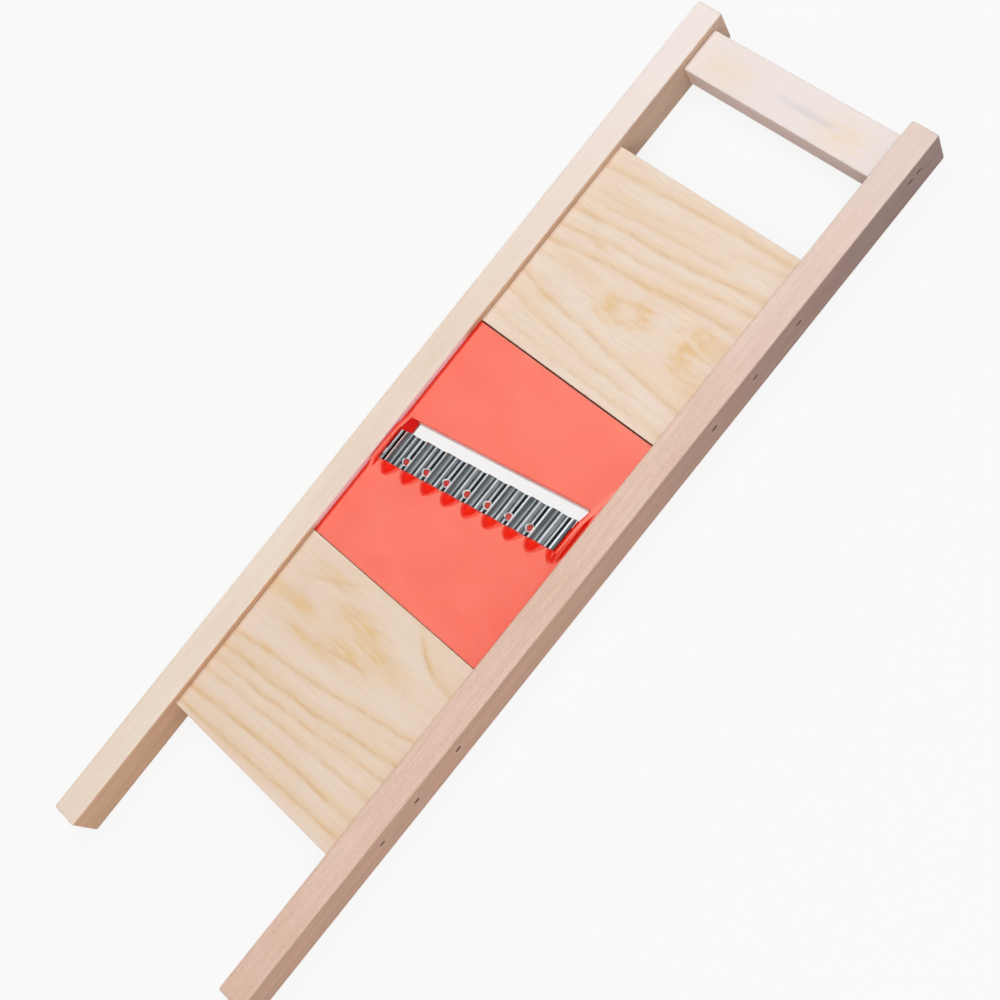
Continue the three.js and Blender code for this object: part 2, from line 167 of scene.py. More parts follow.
# Where the insert's finishes change: heights, and places from the blade's middle line, in millimetres, and
# how squarely a face points up or along a wall's normal
BLADE_MARGIN = 0.3
NOSE_BACK = -6.1
NOSE_FOOT = 12.43
NOSE_FLANK = 12.9
STAKE_FOOT = 11.8
THROAT_REACH = (-1.2, 11.6)
THROAT_TOP = 13.3
FLAT_FACING = 0.8
WALL_FACING = 0.7
INSERT_CREASE = math.radians(32)
FLATS_WEIGHT = 100

# Brads, in millimetres: sections, how far a head ends short of its rail's face, and stations from the head
# to the point as place, share of the section and section
BRAD_HEAD = (2.0, 1.0)
BRAD_SHANK = (1.2, 1.0)
BRAD_CORNER = 0.22
BRAD_SHY = 0.05
BRAD_STATIONS = [(0.0, 0.72, BRAD_HEAD), (-0.12, 0.95, BRAD_HEAD), (-0.3, 1.0, BRAD_HEAD),
                 (-0.7, 0.98, BRAD_HEAD), (-0.75, 0.98, BRAD_SHANK), (-18.4, 0.98, BRAD_SHANK),
                 (-20.0, 0.3, BRAD_SHANK)]
BRAD_FILM = Pattern(EVEN, 1.6, 3.0)
BRAD_TONES = (srgb(34, 24, 22), srgb(58, 45, 41))
FILM_RANGE = (0.35, 0.65)
BRAD_METAL = 0.2
BRAD_ROUGHNESS = (0.3, 0.7, 0.6, 0.8)
BRAD_RELIEF = 0.02 * MM

# Straight-grained bars: the top's pale and dark at the near end and the far end, then the sides at each
# end.
# The tops' paler far ends are painted light; the sides are darker and warmer than the tops, partly from
# side grain and partly as painted shade
LEFT_TONES = [srgb(244, 227, 211), srgb(233, 208, 186), srgb(250, 238, 234), srgb(243, 229, 221),
              srgb(229, 182, 146), srgb(224, 190, 165)]
RIGHT_TONES = [srgb(239, 208, 190), srgb(214, 177, 156), srgb(241, 221, 211), srgb(229, 203, 190),
               srgb(217, 171, 146), srgb(169, 137, 129)]
BAR_TONES = [srgb(243, 231, 227), srgb(233, 215, 206), srgb(243, 231, 227), srgb(243, 231, 227),
             srgb(239, 211, 200), srgb(239, 211, 200)]
FAR_TOPS = (20.0, 178.0)
FAR_SIDES = (-40.0, 170.0)

# Soft marks on the crossbar: X, Y, half length, half height, strength and colour
BAR_MARKS = [(-26.0, 159.5, 12.0, 7.0, 0.6, srgb(246, 220, 190)),
             (23.0, 160.0, 11.0, 7.0, 0.65, srgb(246, 219, 188)),
             (8.0, 161.0, 12.0, 1.2, 0.65, srgb(206, 200, 206))]

# Each bar's grain: the axis it runs along, the strength of its streaks and flecks, and its seed
LEFT_GRAIN = {"along": "Y", "streaks": 0.5, "flecked": 0.15, "seed": 3.0, "painted_bounce": True}
RIGHT_GRAIN = {"along": "Y", "streaks": 0.6, "flecked": 0.35, "seed": 19.0}
BAR_GRAIN = {"along": "X", "streaks": 0.3, "flecked": 0.1, "seed": 41.0, "marks": BAR_MARKS}

# Patterns of straight grain, stretched across, up and along it
GRAIN_FIBRES = Pattern((1.0, 1.0, 0.045), 1.15, 3.0, 0.7)
GRAIN_BANDS = Pattern((1.0, 1.0, 0.012), 0.3, 2.0)
GRAIN_FLECKS = Pattern((1.0, 1.0, 0.2), 3.8, 1.0)
GRAIN_CLOUDS = Pattern((0.07, 0.07, 0.02), 1.0, 3.0)
FLECK_RANGE = (0.42, 0.72)
FLECK_HEIGHT = -0.4
MEAN_TONE = 0.36
BAND_SHARE = 0.4
CLOUD_REACH = 0.5
GRAIN_ROUGHNESS = (0.2, 0.8, 0.52, 0.66)
WOOD_RELIEF = 0.05 * MM
WOOD_IOR = 1.45

# Sides of the bars: their grain darkens them by this colour, and a pale pink painted bounce light from the
# insert lies on the left rail's inner side
SIDE_GRAIN = (0.76, 0.78, 0.80, 1.0)
SIDE_BANDS = 0.6
SIDE_GRAIN_RANGE = (0.62, 1.0, 0.0, 0.62)
SIDE_FACING = (0.45, 0.8, 1.0, 0.0)
INSERT_MIDDLE = -4.0
PAINTED_BOUNCE_RANGE = (38.0, 43.0, 1.0, 0.0)
PAINTED_BOUNCE_PINK = srgb(255, 230, 232)

# Ends of the bars: growth rings round a pith that lies beyond the bar, in millimetres, over a fine speckle
PITH_ACROSS = 31.0
PITH_DOWN = 23.0
RING_SPACING = 1.7
RING_WANDER = Pattern(EVEN, 0.25, 2.0)
RING_WANDER_REACH = 2.0
RING_RANGE = (0.3, 1.0)
RING_STRENGTH = 0.5
RING_DARKNESS = 0.5
END_SPECKLE = Pattern(EVEN, 3.0, 2.0)
SPECKLE_STRENGTH = 0.4
END_FACING = (0.6, 0.8)

# Veneer tones: pale, warm, amber and brown
UPPER_TONES = [srgb(241, 224, 208), srgb(240, 218, 196), srgb(234, 195, 143), srgb(227, 191, 150)]
LOWER_TONES = [srgb(236, 217, 199), srgb(233, 209, 185), srgb(231, 195, 146), srgb(223, 184, 138)]

# Veneer lines: height at left, middle and right, strength, first X and last X, in millimetres
UPPER_LINES = [(111.5, 114.2, 116.0, 0.8, -46, 46), (98.0, 105.0, 112.7, 0.5, 18, 46),
               (102.0, 106.6, 111.0, 0.4, -37, 10), (98.7, 102.5, 105.5, 0.5, -38, 24),
               (94.0, 97.0, 101.8, 0.9, -46, 46), (86.8, 91.5, 95.5, 0.65, -46, 46),
               (80.0, 85.2, 88.3, 0.9, -46, 46), (75.0, 77.5, 78.0, 0.35, -40, -14),
               (66.3, 60.8, 57.0, 0.7, -46, 46), (58.8, 53.6, 52.5, 0.6, -46, 20),
               (50.0, 47.5, 48.0, 0.5, -46, 46)]
LOWER_LINES = [(-63.5, -45.2, -27.0, 0.6, -29, -10), (54.6, -31.4, -57.6, 1.1, 18, 40),
               (-77.5, -72.3, -66.0, 0.6, -29, 10), (-66.0, -62.8, -60.0, 0.5, 1, 19),
               (-89.7, -83.5, -76.0, 0.75, -46, 46), (-95.6, -91.8, -85.7, 0.95, -46, 46),
               (-100.8, -97.0, -92.0, 0.7, -46, 46), (-106.0, -102.2, -99.8, 0.6, -46, 46),
               (-113.2, -110.0, -107.8, 1.0, -46, 46), (-119.3, -117.4, -114.6, 0.8, -46, 46)]

# Knots: X, Y, half length, half height, tilt and strength. Patches: the same without the tilt.
UPPER_KNOTS = [(1.5, 74.3, 11.0, 5.6, 0.28, 1.05), (36.0, 73.6, 15.0, 11.2, -0.33, 1.15)]
UPPER_PATCHES = [(4.0, 85.3, 12.0, 1.8, 0.9), (-25.0, 87.3, 8.0, 1.6, 0.8),
                 (-25.0, 64.2, 6.0, 2.0, 0.9), (-36.0, 95.0, 6.0, 2.0, 0.5)]
LOWER_PATCHES = [(-2.0, -60.3, 11.0, 4.0, 1.3), (8.0, -64.5, 12.0, 3.6, 1.3),
                 (0.0, -70.0, 11.0, 2.4, 1.25), (-26.0, -68.0, 8.0, 2.6, 1.4),
                 (-37.0, -68.5, 6.0, 3.0, 1.1), (-14.0, -75.3, 14.0, 1.9, 1.0),
                 (-20.0, -53.5, 10.0, 2.4, 1.0), (-25.0, -87.0, 4.0, 1.8, 1.1)]
UPPER_SEED = 5.0
LOWER_SEED = 27.0

# How a growth line is drawn, in millimetres: its core, and an amber halo to one side of it
VENEER_HALF_WIDTH = 40.0
LINE_WIDTH = 0.74
LINE_END_FADE = 5.0
HALO_WIDTH = 1.8
HALO_OFFSET = 0.8
HALO_STRENGTH = 0.42
LINE_WEIGHT = Pattern((0.11, 0.2, 0.0), 1.0, 3.0, 0.6, shift=3.0)
WEIGHT_RANGE = (0.34, 0.62, 0.35, 1.05)
LINE_STRANDS = Pattern((0.09, 1.0, 0.0), 1.5, 3.0, 0.65, shift=5.0)
STRAND_RANGE = (0.3, 0.64, 0.5, 1.0)
LINE_HEIGHT = -0.5

# How knots and patches are drawn: streaks that break them up, and a ragged ring
AMBER_STREAKS = Pattern((0.13, 0.55, 0.0), 1.0, 3.0)
STREAK_RANGE = (0.3, 0.66, 0.3, 1.0)
KNOT_RAGGED = Pattern((0.2, 0.45, 0.0), 1.0, 3.0)
KNOT_RAGGED_REACH = 0.65
KNOT_END_RANGE = (0.1, 0.7, 0.6, 1.0)
KNOT_RING = (0.58, 0.46)

# The rest of the veneer's face
VENEER_SWAY = Pattern((0.05, 0.05, 0.0), 1.0, 1.0)
SWAY_REACH = 1.2
VENEER_RIPPLE = Pattern((0.14, 0.3, 0.0), 1.0, 4.0, 0.62)
RIPPLE_REACH = 0.75
VENEER_FIBRES = Pattern((0.02, 1.0, 0.0), 1.2, 4.0, 0.7)
FIBRE_RANGE = (0.46, 0.69, 0.0, 0.4)
VENEER_CLOUDS = Pattern((0.03, 0.09, 0.0), 1.0, 2.0)
CLOUD_RANGE = (0.3, 0.72)
VENEER_ROSE = Pattern((0.16, 0.26, 0.0), 1.0, 3.0, 0.6)
ROSE_RANGE = (0.4, 0.68, 0.0, 0.4)
ROSE = srgb(240, 213, 200)
VENEER_DUCTS = Pattern((0.17, 1.0, 0.0), 1.6, 2.0, shift=9.0)
DUCT_RANGE = (0.5, 0.75, 0.0, 0.16)
DUCT_BROWN = srgb(212, 184, 158)
VENEER_ROUGHNESS = (0.2, 0.8, 0.52, 0.64)
FACE_FACING = (0.5, 0.75)

# Plies on the boards' edges: the foot of the lowest pair and the height of a pair, in millimetres, and the
# share of a pair that its first ply takes
PLY_FOOT = 5.4
PLY_PAIR = 2.8
PLY_SPLIT = 0.5
PLY_TONES = (srgb(228, 200, 166), srgb(206, 168, 126))
PLY_GRAIN = Pattern((2.0, 2.0, 0.6), 1.0, 3.0)
PLY_GRAIN_RANGE = (0.3, 0.8, 0.0, 0.5)
PLY_GRAIN_BROWN = srgb(186, 142, 98)
GLUE_WIDTH = 0.035
GLUE_STRENGTH = 0.6
GLUE_BROWN = srgb(140, 104, 72)

# Sockets of a Mix node that hold colours, which share their names with others
MIX_FIRST = 6
MIX_SECOND = 7
MIX_RESULT = 2


class Nodes:
    """A node tree, with a short call for each kind of node that more than one function uses."""

    def __init__(self, tree):
        self.tree = tree

    def add(self, kind, feeds=(), **settings):
        """A new node with its settings, and its named or numbered sockets linked or given constants."""
        node = self.tree.nodes.new(kind)
        for name, value in settings.items():
            setattr(node, name, value)
        for key, value in dict(feeds).items():
            self.feed(node.inputs[key], value)
        return node

    def feed(self, socket, value):
        if isinstance(value, bpy.types.NodeSocket):
            self.tree.links.new(value, socket)
        else:
            socket.default_value = value

    def math(self, operation, *values, clamp=False):
        feeds = dict(enumerate(values))
        return self.add("ShaderNodeMath", feeds, operation=operation, use_clamp=clamp).outputs[0]

    def plus(self, first, second):
        return self.math("ADD", first, second)

    def minus(self, first, second):
        return self.math("SUBTRACT", first, second)

    def times(self, first, second):
        return self.math("MULTIPLY", first, second)

    def over(self, first, second):
        return self.math("DIVIDE", first, second)

    def absolute(self, value):
        return self.math("ABSOLUTE", value)

    def distance(self, x, y):
        return self.math("SQRT", self.plus(self.times(x, x), self.times(y, y)))

    def spread(self, value, low, high, to_low=0.0, to_high=1.0, smooth=True):
        """A value read between low and high, as one between to_low and to_high."""
        feeds = {"Value": value, "From Min": low, "From Max": high, "To Min": to_low, "To Max": to_high}
        interpolation = "SMOOTHSTEP" if smooth else "LINEAR"
        return self.add("ShaderNodeMapRange", feeds, interpolation_type=interpolation).outputs["Result"]

    def split(self, vector):
        node = self.add("ShaderNodeSeparateXYZ", {0: vector})
        return node.outputs["X"], node.outputs["Y"], node.outputs["Z"]

    def join(self, x=0.0, y=0.0, z=0.0):
        return self.add("ShaderNodeCombineXYZ", {"X": x, "Y": y, "Z": z}).outputs[0]

    def scaled(self, vector, factor):
        feeds = {0: vector, "Scale": factor}
        return self.add("ShaderNodeVectorMath", feeds, operation="SCALE").outputs["Vector"]


class Finish(Nodes):
    """A material with one principled shader."""

    def __init__(self, name):
        self.material = bpy.data.materials.new(name)
        self.material.use_nodes = True
        super().__init__(self.material.node_tree)
        self.tree.nodes.clear()
        self.shader = self.add("ShaderNodeBsdfPrincipled")
        self.add("ShaderNodeOutputMaterial", {"Surface": self.shader.outputs["BSDF"]})

    def place(self):
        """The surface point in millimetres, in the part's own frame."""
        return self.scaled(self.add("ShaderNodeTexCoord").outputs["Object"], 1 / MM)

    def normal(self):
        return self.split(self.add("ShaderNodeNewGeometry").outputs["Normal"])

    def noise(self, vector, pattern, seed=0.0):
        """A noise pattern over a vector, moved along its third axis by the seed."""
        feeds = {0: vector, 1: pattern.stretch, 2: (0.0, 0.0, seed + pattern.shift)}
        stretched = self.add("ShaderNodeVectorMath", feeds, operation="MULTIPLY_ADD").outputs["Vector"]
        feeds = {"Vector": stretched, "Scale": pattern.scale, "Detail": pattern.detail,
                 "Roughness": pattern.roughness}
        return self.add("ShaderNodeTexNoise", feeds).outputs["Fac"]

    def swing(self, noise, reach):
        """A noise between 0 and 1, as one that swings by reach to either side of nothing."""
        return self.math("MULTIPLY_ADD", noise, 2.0 * reach, -reach)

    def bell(self, value, middle, width):
        """1 where value is at middle, falling smoothly to nothing about two widths away."""
        share = self.over(self.minus(value, middle), width)
        return self.math("POWER", math.e, self.times(self.times(share, share), -1.0))

    def strongest(self, tones):
        result = tones[0]
        for tone in tones[1:]:
            result = self.math("MAXIMUM", result, tone)
        return result

    def mix(self, share, first, second, blend="MIX"):
        feeds = {"Factor": share, MIX_FIRST: first, MIX_SECOND: second}
        return self.add("ShaderNodeMix", feeds, data_type="RGBA", blend_type=blend).outputs[MIX_RESULT]

    def bump(self, height, distance):
        node = self.add("ShaderNodeBump", {"Strength": 1.0, "Distance": distance, "Height": height})
        self.feed(self.shader.inputs["Normal"], node.outputs["Normal"])

    def set(self, **values):
        """Feeds the shader's sockets, whose names have underscores here for spaces."""
        for name, value in values.items():
            self.feed(self.shader.inputs[name.replace("_", " ")], value)


def amber_streaks(finish, place):
    """Short streaks along X, by which amber clouds and rings break up."""
    return finish.spread(finish.noise(place, AMBER_STREAKS), *STREAK_RANGE)


def amber_patch(finish, streaks, x, flow, patch):
    """A streaky cloud along the grain."""
    patch_x, patch_y, half_long, half_high, strength = patch
    cloud = finish.times(finish.bell(x, patch_x, half_long), finish.bell(flow, patch_y, half_high))
    return finish.times(cloud, finish.times(streaks, strength))


def end_grain(finish, place, across, up, seed, pale, dark):
    """The colour of a bar's end: wandering growth rings over a fine speckle."""
    radius = finish.distance(finish.plus(across, PITH_ACROSS + seed), finish.plus(up, PITH_DOWN))
    radius = finish.plus(radius, finish.times(finish.noise(place, RING_WANDER), RING_WANDER_REACH))
    rings = finish.math("FRACT", finish.over(radius, RING_SPACING))
    speckle = finish.times(finish.noise(place, END_SPECKLE), SPECKLE_STRENGTH)
    tone = finish.math("MULTIPLY_ADD", finish.spread(rings, *RING_RANGE), RING_STRENGTH, speckle)
    red, green, blue, _ = dark
    return finish.mix(tone, pale, (red * RING_DARKNESS, green * RING_DARKNESS, blue * RING_DARKNESS, 1.0))


def straight_grained_wood(name, tones, along, streaks, flecked, seed, marks=(), painted_bounce=False):
    """Close-grained sanded wood: fibres, bands and flecks along one axis, and growth rings on the ends.

    Marks lie on its top. With painted bounce, its inner side beside the insert is lightened pink: painted
    light bounced from the red insert.
    """
    finish = Finish(name)
    pale, dark, far_pale, far_dark, near_side, far_side = tones
    place = finish.place()
    x, y, z = finish.split(place)
    normal_x, normal_y, normal_z = finish.normal()
    run, across, end_normal = (y, x, normal_y) if along == "Y" else (x, y, normal_x)
    grain = finish.join(across, finish.plus(z, seed), run)
    fibres = finish.noise(grain, GRAIN_FIBRES)
    bands = finish.noise(grain, GRAIN_BANDS)
    flecks = finish.spread(finish.noise(grain, GRAIN_FLECKS), *FLECK_RANGE)
    clouds = finish.noise(grain, GRAIN_CLOUDS)
    tone = finish.plus(finish.swing(fibres, streaks), MEAN_TONE)
    tone = finish.plus(tone, finish.swing(bands, BAND_SHARE * streaks))
    tone = finish.plus(tone, finish.swing(clouds, CLOUD_REACH))
    tone = finish.math("MULTIPLY_ADD", flecks, flecked, tone, clamp=True)
    # Painted light: the top pales towards the far end.
    far = finish.spread(y, *FAR_TOPS)
    top = finish.mix(tone, finish.mix(far, pale, far_pale), finish.mix(far, dark, far_dark))
    for *mark, colour in marks:
        top = finish.mix(amber_patch(finish, amber_streaks(finish, place), x, y, mark), top, colour)

    # The sides' tones: side grain and painted shade, darker and warmer than the top.
    plain_side = finish.mix(finish.spread(y, *FAR_SIDES), near_side, far_side)
    side_grain = finish.math("MULTIPLY_ADD", bands, SIDE_BANDS, fibres)
    side = finish.mix(finish.spread(side_grain, *SIDE_GRAIN_RANGE), plain_side, SIDE_GRAIN, "MULTIPLY")
    # Painted light: the left rail's inner side is lightened pink beside the red insert, as if lit by its
    # bounce.
    if painted_bounce:
        beside_insert = finish.spread(finish.absolute(finish.minus(y, INSERT_MIDDLE)), *PAINTED_BOUNCE_RANGE)
        inner_side = finish.math("GREATER_THAN", normal_x, 0.0)
        side = finish.mix(finish.times(beside_insert, inner_side), side, PAINTED_BOUNCE_PINK)
    end = end_grain(finish, place, across, z, seed, plain_side, dark)
    side_share = finish.spread(finish.absolute(normal_z), *SIDE_FACING)
    end_share = finish.spread(finish.absolute(end_normal), *END_FACING)
    finish.set(Base_Color=finish.mix(end_share, finish.mix(side_share, top, side), end), IOR=WOOD_IOR,
               Roughness=finish.spread(fibres, *GRAIN_ROUGHNESS))
    finish.bump(finish.math("MULTIPLY_ADD", flecks, FLECK_HEIGHT, fibres), WOOD_RELIEF)
    return finish.material


def growth_line(finish, x, flow, line):
    """The core and the halo of a late-wood line on its own gentle arc, between two ends."""
    left, middle, right, strength, start, end = line
    share = finish.over(x, VENEER_HALF_WIDTH)
    level = finish.math("MULTIPLY_ADD", finish.times(share, share), (left + right) / 2 - middle, middle)
    level = finish.math("MULTIPLY_ADD", share, (right - left) / 2, level)
    offset = finish.minus(flow, level)
    begun = finish.spread(x, start - LINE_END_FADE, start + LINE_END_FADE)
    inside = finish.times(begun, finish.spread(x, end - LINE_END_FADE, end + LINE_END_FADE, strength, 0.0))
    core = finish.times(finish.bell(offset, 0.0, LINE_WIDTH), inside)
    halo = finish.times(finish.bell(offset, HALO_OFFSET, HALO_WIDTH), inside)
    return core, halo


def knot_ring(finish, place, streaks, x, y, knot):
    """An amber ring with a pale heart, tilted, ragged along the grain and strongest at its two ends."""
    knot_x, knot_y, half_long, half_high, tilt, strength = knot
    from_x = finish.minus(x, knot_x)
    from_y = finish.minus(y, knot_y)
    off_x = finish.over(finish.math("MULTIPLY_ADD", from_y, tilt, from_x), half_long)
    off_y = finish.over(finish.math("MULTIPLY_ADD", from_x, -tilt, from_y), half_high)
    ragged = finish.swing(finish.noise(place, KNOT_RAGGED), KNOT_RAGGED_REACH)
    reach = finish.plus(finish.distance(off_x, off_y), ragged)
    ends = finish.spread(finish.absolute(off_x), *KNOT_END_RANGE)
    tone = finish.times(finish.bell(reach, *KNOT_RING), finish.times(ends, strength))
    return finish.times(tone, streaks)


def ply_edge(finish, place, z):
    """The colour of a board's edge: plies in two tones with glue between them."""
    layer = finish.math("FRACT", finish.over(finish.minus(z, PLY_FOOT), PLY_PAIR))
    glue = finish.bell(finish.absolute(finish.minus(layer, PLY_SPLIT)), 0.0, GLUE_WIDTH)
    edge = finish.mix(finish.math("GREATER_THAN", layer, PLY_SPLIT), *PLY_TONES)
    grain = finish.spread(finish.noise(place, PLY_GRAIN), *PLY_GRAIN_RANGE)
    edge = finish.mix(grain, edge, PLY_GRAIN_BROWN)
    return finish.mix(finish.times(glue, GLUE_STRENGTH), edge, GLUE_BROWN)


def veneered_board(name, tones, lines, knots, patches, seed):
    """Rotary-cut pine veneer: amber growth lines across the board, knots and clouds, over bare plies."""
    finish = Finish(name)
    place = finish.place()
    x, y, z = finish.split(place)
    pale, warm, amber, brown = tones
    flow = finish.plus(y, finish.swing(finish.noise(place, VENEER_SWAY, seed), SWAY_REACH))
    flow = finish.plus(flow, finish.swing(finish.noise(place, VENEER_RIPPLE, seed), RIPPLE_REACH))
    flowing = finish.join(x, flow)
    cores, halos = zip(*(growth_line(finish, x, flow, line) for line in lines))
    weight = finish.spread(finish.noise(place, LINE_WEIGHT, seed), *WEIGHT_RANGE)
    strands = finish.spread(finish.noise(flowing, LINE_STRANDS, seed), *STRAND_RANGE)
    line_tone = finish.times(finish.times(finish.strongest(cores), weight), strands)
    streaks = amber_streaks(finish, place)
    amber_tones = [knot_ring(finish, place, streaks, x, y, knot) for knot in knots]
    amber_tones += [amber_patch(finish, streaks, x, flow, patch) for patch in patches]
    amber_tones.append(finish.times(finish.strongest(halos), HALO_STRENGTH))

    fibres = finish.noise(flowing, VENEER_FIBRES, seed)
    face = finish.mix(finish.spread(finish.noise(place, VENEER_CLOUDS), *CLOUD_RANGE), pale, warm)
    face = finish.mix(finish.spread(fibres, *FIBRE_RANGE), face, amber)
    face = finish.mix(finish.spread(finish.noise(place, VENEER_ROSE), *ROSE_RANGE), face, ROSE)
    face = finish.mix(finish.strongest(amber_tones), face, amber)
    face = finish.mix(line_tone, face, brown)
    ducts = finish.spread(finish.noise(flowing, VENEER_DUCTS, seed), *DUCT_RANGE)
    face = finish.mix(ducts, face, DUCT_BROWN)
    _, _, normal_z = finish.normal()
    face_share = finish.spread(finish.absolute(normal_z), *FACE_FACING)
    finish.set(Base_Color=finish.mix(face_share, ply_edge(finish, place, z), face), IOR=WOOD_IOR,
               Roughness=finish.spread(fibres, *VENEER_ROUGHNESS))
    finish.bump(finish.math("MULTIPLY_ADD", line_tone, LINE_HEIGHT, fibres), WOOD_RELIEF)
    return finish.material


def red_plastic(name, gloss, reds):
    """Moulded plastic that light soaks into, faintly smeared where it has been handled."""
    finish = Finish(name)
    place = finish.place()
    smears = finish.noise(place, PLASTIC_SMEARS)
    swell = finish.noise(place, PLASTIC_SWELL)
    finish.set(Base_Color=finish.mix(finish.spread(swell, *SWELL_RANGE), *reds), Metallic=gloss["shine"],
               IOR=gloss["ior"], Specular_IOR_Level=gloss["level"], Specular_Tint=gloss["tint"],
               Roughness=finish.spread(smears, *SMEAR_RANGE, gloss["smooth"], gloss["smeared"]),
               Subsurface_Weight=gloss["soak"], Subsurface_Radius=SOAK_RADIUS,
               Subsurface_Scale=gloss["depth"] * MM)
    finish.bump(swell, PLASTIC_RELIEF)
    return finish.material


def polished_steel():
    """Rolled stainless sheet: rolling lines, and painted dark reflections and a painted highlight on each
    wave.
    """
    finish = Finish("polished_blade_steel")
    place = finish.place()
    x, _, _ = finish.split(place)
    lines = finish.noise(place, STEEL_LINES)
    smudge = finish.noise(place, STEEL_SMUDGE)
    from_crest = WHOLE_WAVES + HALF_WAVE - WAVE_CENTRE / WAVE_PITCH
    wave = finish.math("FRACT", finish.math("MULTIPLY_ADD", x, 1 / WAVE_PITCH, from_crest))
    wave = finish.math("MULTIPLY_ADD", smudge, SMUDGE_SWAY, wave)

    def on_line(middle, half, fade):
        turned = finish.math("FRACT", finish.plus(wave, 1.0 + HALF_WAVE - middle))
        return finish.spread(finish.absolute(finish.minus(turned, HALF_WAVE)), half, half + fade, 1.0, 0.0)

    shine = finish.mix(finish.spread(smudge, *SMUDGE_RANGE), *STEEL_TONES)
    shine = finish.mix(finish.spread(lines, *ROLLED_RANGE), shine, ROLLED_DARK)
    # Painted dark reflections and shade: each dark band scales the shine down.
    for middle, half, fade, left in PAINTED_DARK_BANDS:
        shine = finish.mix(on_line(middle, half, fade), shine, (left, left, left, 1.0), "MULTIPLY")
    # Painted highlight: a white, non-metal line where the steel would mirror light.
    painted_highlight = on_line(*PAINTED_HIGHLIGHT_LINE)
    rough = finish.math("MULTIPLY_ADD", smudge, SMUDGE_ROUGHNESS, lines)
    finish.set(Base_Color=finish.mix(painted_highlight, shine, PAINTED_HIGHLIGHT_WHITE),
               Metallic=finish.minus(1.0, painted_highlight), Roughness=finish.spread(rough, *STEEL_ROUGHNESS))
    finish.bump(lines, STEEL_RELIEF)
    return finish.material


def punched_rim():
    """The burr round a punched hole: rough, barely metal, grey with patches of white painted highlight."""
    finish = Finish("punched_rim_steel")
    burrs = finish.noise(finish.place(), RIM_BURRS)
    # Painted highlight: the white patches stand in for light caught by the rim.
    finish.set(Base_Color=finish.mix(finish.spread(burrs, *RIM_RANGE), *RIM_TONES), Metallic=RIM_METAL,
               Roughness=finish.spread(burrs, *RIM_ROUGHNESS))
    finish.bump(burrs, RIM_RELIEF)
    return finish.material


def brad_wire():
    """Dull wire with a darker film in patches."""
    finish = Finish("dull_brad_wire")
    film = finish.noise(finish.place(), BRAD_FILM)
    finish.set(Base_Color=finish.mix(finish.spread(film, *FILM_RANGE), *BRAD_TONES), Metallic=BRAD_METAL,
               Roughness=finish.spread(film, *BRAD_ROUGHNESS))
    finish.bump(film, BRAD_RELIEF)
    return finish.material


class Maker(Nodes):
    """A geometry node tree with named inputs, given as label, socket kind and value, and one output."""

    def __init__(self, name, inputs):
        super().__init__(bpy.data.node_groups.new(name, "GeometryNodeTree"))
        self.values = {label: value for label, _, value in inputs}
        sockets = [("Geometry", "INPUT", "NodeSocketGeometry")]
        sockets += [(label, "INPUT", kind) for label, kind, _ in inputs]
        sockets.append(("Geometry", "OUTPUT", "NodeSocketGeometry"))
        for label, side, kind in sockets:
            self.tree.interface.new_socket(name=label, in_out=side, socket_type=kind)
        self.given = self.add("NodeGroupInput").outputs

    def position(self):
        return self.add("GeometryNodeInputPosition").outputs[0]

    def moved(self, geometry, **feeds):
        return self.add("GeometryNodeSetPosition", {"Geometry": geometry, **feeds}).outputs[0]

    def capture(self, geometry, kind, label, value):
        """The outputs of a node that keeps a value on the geometry's points: Geometry and the label."""
        node = self.add("GeometryNodeCaptureAttribute", {"Geometry": geometry})
        node.capture_items.new(kind, label)
        self.tree.links.new(value, node.inputs[label])
        return node.outputs

    def joined(self, *parts):
        node = self.add("GeometryNodeJoinGeometry")
        for part in parts:
            self.tree.links.new(part, node.inputs[0])
        return node.outputs[0]

    def smoothed(self, geometry):
        feeds = {"Geometry": geometry, "Shade Smooth": True}
        return self.add("GeometryNodeSetShadeSmooth", feeds).outputs[0]

    def copies(self, points, instance, **feeds):
        feeds = {"Points": points, "Instance": instance, **feeds}
        return self.real(self.add("GeometryNodeInstanceOnPoints", feeds).outputs["Instances"])

    def real(self, geometry):
        return self.add("GeometryNodeRealizeInstances", {"Geometry": geometry}).outputs[0]

    def dressed(self, geometry, finish):
        return self.add("GeometryNodeSetMaterial", {"Geometry": geometry, "Material": finish}).outputs[0]

    def make(self, piece, geometry):
        """Ends the tree with the geometry, runs it on the piece and keeps the result as its plain mesh."""
        self.add("NodeGroupOutput", {"Geometry": geometry})
        modifier = piece.modifiers.new(self.tree.name, "NODES")
        modifier.node_group = self.tree
        for item in self.tree.interface.items_tree:
            if item.in_out == "INPUT" and item.name in self.values:
                modifier[item.identifier] = self.values[item.name]
        seen = piece.evaluated_get(bpy.context.evaluated_depsgraph_get())
        mesh = bpy.data.meshes.new_from_object(seen)
        piece.modifiers.remove(modifier)
        piece.data = mesh
        return piece


def new_piece(name, mesh=None):
    piece = bpy.data.objects.new(name, mesh or bpy.data.meshes.new(name))
    bpy.context.scene.collection.objects.link(piece)
    return piece


